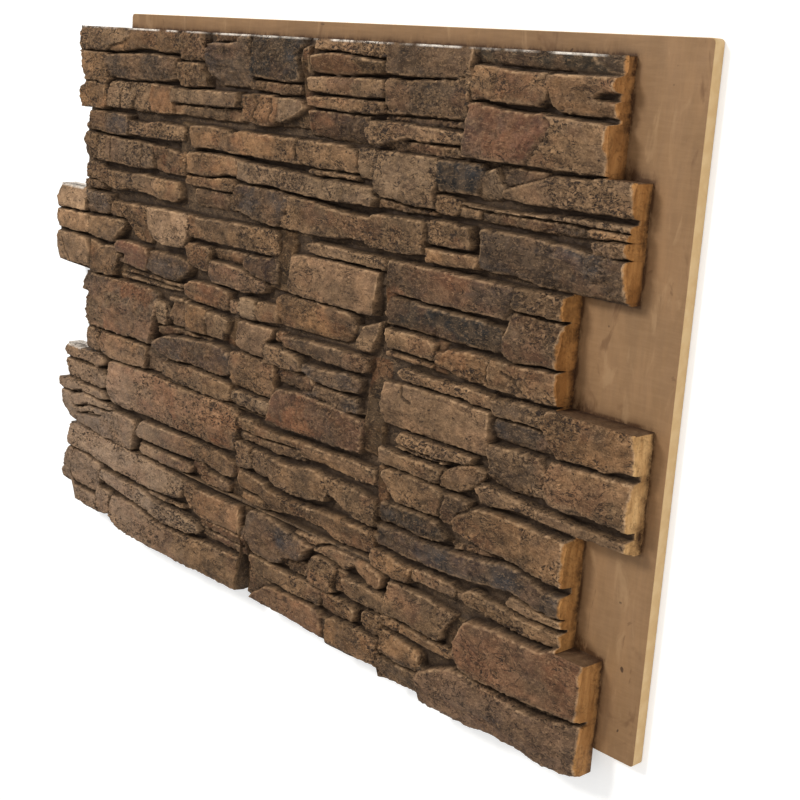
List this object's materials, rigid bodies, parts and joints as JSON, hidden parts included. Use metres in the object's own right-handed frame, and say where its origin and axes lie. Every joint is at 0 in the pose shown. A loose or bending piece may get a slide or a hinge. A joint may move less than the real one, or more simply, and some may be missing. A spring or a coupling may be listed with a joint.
{
  "type": "faux stone wall panel",
  "caption": "Moulded wall cladding panel with a stacked ledge-stone relief on a flat mounting sheet; staggered interlocking course ends and bare side and top flanges.",
  "frame": {"origin": "middle of the whole outline, in the plane of the sheet's flat back", "axes": "+X along the panel's length, towards the bare side flange; +Y up the panel's face as it hangs on a wall, towards the bare top flange; +Z out of the wall, towards the stones"},
  "size_m": [1.413, 0.9592, 0.0635],
  "materials": {
    "moulded_stone": "moulded rigid foam with a painted and washed stone texture, matte"
  },
  "bodies": {
    "root": {"stone_panel": "moulded_stone"}
  },
  "joints": []
}
